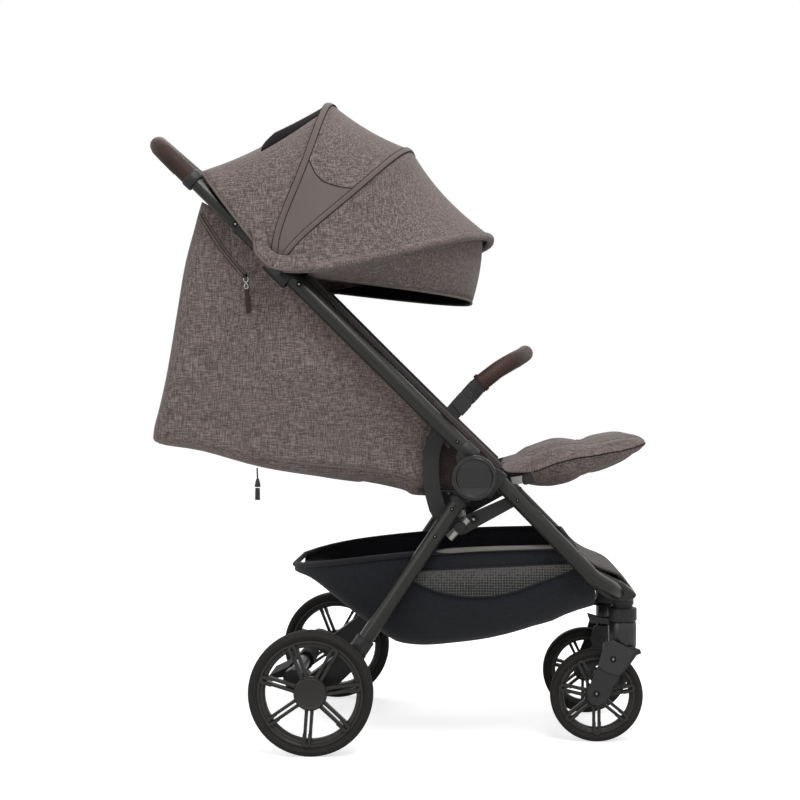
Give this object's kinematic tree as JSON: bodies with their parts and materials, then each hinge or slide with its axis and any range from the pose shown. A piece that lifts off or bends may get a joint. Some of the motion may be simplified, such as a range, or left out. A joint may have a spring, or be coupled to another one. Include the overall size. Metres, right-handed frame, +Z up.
{
  "type": "compact stroller",
  "caption": "Folding compact stroller with a canopy, reclining seat, leg rest, arm bar, under-seat basket, rear wheels and swivelling front casters.",
  "frame": {"origin": "on the floor, under the middle of the bounding box", "axes": "+X the way the stroller rolls, +Y its left side, +Z up"},
  "size_m": [0.7969, 0.516, 1.0146],
  "materials": {
    "charcoal_tube": "satin charcoal anodised tube",
    "dark_plastic": "matt moulded near-black",
    "gloss_plastic": "smooth near-black",
    "silver_tube": "plain silver grey",
    "brown_leather": "dark brown stitched leather",
    "taupe_fabric": "taupe melange weave",
    "basket_fabric": "near-black fabric with a mesh window",
    "brown_tread": "brown textured tread",
    "wheel_plastic": "matt moulded dark grey-brown",
    "black_webbing": "black woven webbing",
    "tyre_rubber": "matt black foam tyre"
  },
  "bodies": {
    "front_frame": {"front_leg_left": "charcoal_tube", "front_leg_right": "charcoal_tube", "front_knuckle_left": "dark_plastic", "front_knuckle_right": "dark_plastic", "hub_cover_left": "gloss_plastic", "hub_cover_right": "gloss_plastic", "arm_bracket_left": "dark_plastic", "arm_bracket_right": "dark_plastic", "front_casting": "dark_plastic", "footboard": "brown_tread", "seat_frame": "dark_plastic", "seat_cross_tube": "silver_tube", "seat_board": "dark_plastic", "seat_pad": "taupe_fabric", "harness_buckle": "dark_plastic", "basket": "basket_fabric", "basket_rim": "dark_plastic"},
    "rear_frame": {"rear_leg_left": "charcoal_tube", "rear_leg_right": "charcoal_tube", "rear_knuckle_left": "dark_plastic", "rear_knuckle_right": "dark_plastic", "axle_housing_left": "dark_plastic", "axle_housing_right": "dark_plastic", "rear_cross_tube": "charcoal_tube"},
    "brake": {"brake_pedal": "dark_plastic"},
    "rear_wheel_left": {"rear_wheel_left_rim": "wheel_plastic", "rear_wheel_left_tyre": "tyre_rubber"},
    "rear_wheel_right": {"rear_wheel_right_rim": "wheel_plastic", "rear_wheel_right_tyre": "tyre_rubber"},
    "caster_left": {"caster_body_left": "dark_plastic"},
    "caster_right": {"caster_body_right": "dark_plastic"},
    "caster_arm_left": {"caster_arm_left": "dark_plastic"},
    "caster_arm_right": {"caster_arm_right": "dark_plastic"},
    "front_wheel_left": {"front_wheel_left_rim": "wheel_plastic", "front_wheel_left_tyre": "tyre_rubber"},
    "front_wheel_right": {"front_wheel_right_rim": "wheel_plastic", "front_wheel_right_tyre": "tyre_rubber"},
    "upper_frame": {"upper_tube_left": "charcoal_tube", "upper_tube_right": "charcoal_tube", "upper_knuckle_left": "dark_plastic", "upper_knuckle_right": "dark_plastic", "canopy_mount_left": "dark_plastic", "canopy_mount_right": "dark_plastic", "back_shell": "taupe_fabric", "canopy_rear_panel": "taupe_fabric"},
    "handle": {"handle_bar": "charcoal_tube", "handle_grip": "brown_leather", "release_housing": "dark_plastic"},
    "fold_button": {"fold_button": "gloss_plastic"},
    "main_bow": {"main_bow": "dark_plastic", "canopy_middle_panel": "taupe_fabric"},
    "mid_bow": {"mid_bow": "dark_plastic", "canopy_front_panel": "taupe_fabric"},
    "front_bow": {"front_bow": "dark_plastic"},
    "flap": {"canopy_flap": "taupe_fabric"},
    "backrest": {"back_pad": "taupe_fabric", "shoulder_straps": "black_webbing"},
    "leg_rest": {"leg_rest": "taupe_fabric"},
    "arm_bar": {"arm_bar": "dark_plastic", "arm_bar_grip": "brown_leather"}
  },
  "joints": [
    {"name": "frame_fold", "type": "hinge", "parent": "front_frame", "child": "upper_frame", "pos_m": [0.111, 0, 0.421], "axis": [0, -1, 0], "range_deg": [0, 112], "deforming": ["back_shell", "back_pad", "shoulder_straps"]},
    {"name": "rear_fold", "type": "hinge", "parent": "front_frame", "child": "rear_frame", "pos_m": [0.111, 0, 0.421], "axis": [0, -1, 0], "range_deg": [0, 45.6]},
    {"name": "handle_slide", "type": "slide", "parent": "upper_frame", "child": "handle", "axis": [0.7108, 0, -0.7034], "range_m": [0, 0.0806]},
    {"name": "fold_button_press", "type": "slide", "parent": "handle", "child": "fold_button", "axis": [-0.7108, 0, 0.7034], "range_m": [0, 0.0025], "stiffness_N_per_m": 300, "springref_m": -0.003},
    {"name": "brake_press", "type": "hinge", "parent": "rear_frame", "child": "brake", "pos_m": [-0.168, 0, 0.112], "axis": [0, -1, 0], "range_deg": [0, 12]},
    {"name": "canopy_fold", "type": "hinge", "parent": "upper_frame", "child": "main_bow", "pos_m": [-0.19, 0, 0.737], "axis": [0, -1, 0], "range_deg": [0, 46], "deforming": ["canopy_rear_panel", "canopy_middle_panel", "canopy_front_panel"]},
    {"name": "mid_bow_fold", "type": "hinge", "parent": "main_bow", "child": "mid_bow", "pos_m": [-0.19, 0, 0.737], "axis": [0, -1, 0], "range_deg": [0, 24.5]},
    {"name": "front_bow_fold", "type": "hinge", "parent": "mid_bow", "child": "front_bow", "pos_m": [-0.19, 0, 0.737], "axis": [0, -1, 0], "range_deg": [0, 28.3]},
    {"name": "flap_tuck", "type": "hinge", "parent": "front_bow", "child": "flap", "pos_m": [-0.19, 0, 0.737], "axis": [0, -1, 0], "range_deg": [0, 16], "deforming": ["canopy_flap"]},
    {"name": "backrest_lift", "type": "hinge", "parent": "upper_frame", "child": "backrest", "pos_m": [-0.04, 0, 0.405], "axis": [0, 1, 0], "range_deg": [0, 28]},
    {"name": "leg_rest_tilt", "type": "hinge", "parent": "front_frame", "child": "leg_rest", "pos_m": [0.17, 0, 0.43], "axis": [0, 1, 0], "range_deg": [0, 46]},
    {"name": "arm_bar_lift", "type": "slide", "parent": "front_frame", "child": "arm_bar", "axis": [0.6947, 0, 0.7193], "range_m": [0, 0.035]},
    {"name": "rear_wheel_left_roll", "type": "hinge", "parent": "rear_frame", "child": "rear_wheel_left", "pos_m": [-0.138, 0.242, 0.095], "axis": [0, 1, 0], "continuous": true},
    {"name": "caster_left_swivel", "type": "hinge", "parent": "front_frame", "child": "caster_left", "pos_m": [0.344, 0.1175, 0.15], "axis": [0, 0, 1], "continuous": true},
    {"name": "caster_left_suspension", "type": "hinge", "parent": "caster_left", "child": "caster_arm_left", "pos_m": [0.33, 0.1175, 0.129], "axis": [0, 1, 0], "range_deg": [0, 8], "stiffness_Nm_per_rad": 14, "springref_deg": -8.59},
    {"name": "front_wheel_left_roll", "type": "hinge", "parent": "caster_arm_left", "child": "front_wheel_left", "pos_m": [0.303, 0.1175, 0.073], "axis": [0, 1, 0], "continuous": true},
    {"name": "rear_wheel_right_roll", "type": "hinge", "parent": "rear_frame", "child": "rear_wheel_right", "pos_m": [-0.138, -0.242, 0.095], "axis": [0, 1, 0], "continuous": true},
    {"name": "caster_right_swivel", "type": "hinge", "parent": "front_frame", "child": "caster_right", "pos_m": [0.344, -0.1175, 0.15], "axis": [0, 0, 1], "continuous": true},
    {"name": "caster_right_suspension", "type": "hinge", "parent": "caster_right", "child": "caster_arm_right", "pos_m": [0.33, -0.1175, 0.129], "axis": [0, 1, 0], "range_deg": [0, 8], "stiffness_Nm_per_rad": 14, "springref_deg": -8.59},
    {"name": "front_wheel_right_roll", "type": "hinge", "parent": "caster_arm_right", "child": "front_wheel_right", "pos_m": [0.303, -0.1175, 0.073], "axis": [0, 1, 0], "continuous": true}
  ],
  "couplings": [
    {"joint": "rear_fold", "follows": "frame_fold", "ratio": 0.4071},
    {"joint": "handle_slide", "follows": "frame_fold", "m_per_rad": 0.0412},
    {"joint": "mid_bow_fold", "follows": "canopy_fold", "ratio": 0.5326},
    {"joint": "front_bow_fold", "follows": "canopy_fold", "ratio": 0.6151}
  ]
}
